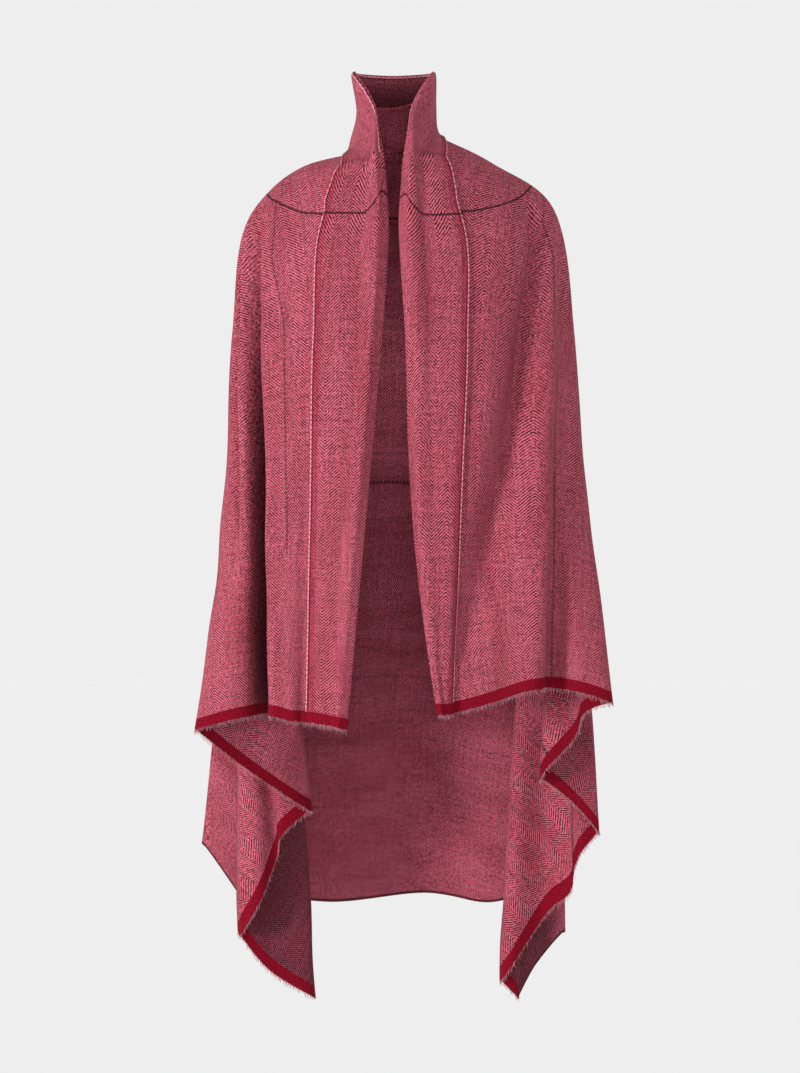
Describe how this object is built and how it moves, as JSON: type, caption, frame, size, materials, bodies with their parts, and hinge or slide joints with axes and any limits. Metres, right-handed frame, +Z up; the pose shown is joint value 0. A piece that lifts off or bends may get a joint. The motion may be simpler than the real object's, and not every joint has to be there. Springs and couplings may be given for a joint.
{
  "type": "cape",
  "caption": "Worn wool cape with nobody in it: a draped rectangle with a standing turned-over collar, turned-back front strips and side cascades ending in frayed hems.",
  "frame": {"origin": "middle of the neck base, level with the lowest point of the neckline, where the wearer's neck and shoulders hold the cape", "axes": "+Z up, -Y out of the front opening, +X to the viewer's right when seen from the front"},
  "size_m": [0.5823, 0.3937, 1.3299],
  "materials": {
    "herringbone_wool": "matte",
    "crimson_wool": "matte",
    "frayed_yarn": "matte"
  },
  "bodies": {
    "root": {"back": "herringbone_wool", "collar": "herringbone_wool", "front_left": "herringbone_wool", "front_right": "herringbone_wool", "lapel_left": "herringbone_wool", "lapel_right": "herringbone_wool", "end_band_left": "crimson_wool", "end_band_right": "crimson_wool", "fringe_left": "frayed_yarn", "fringe_right": "frayed_yarn"}
  },
  "joints": []
}
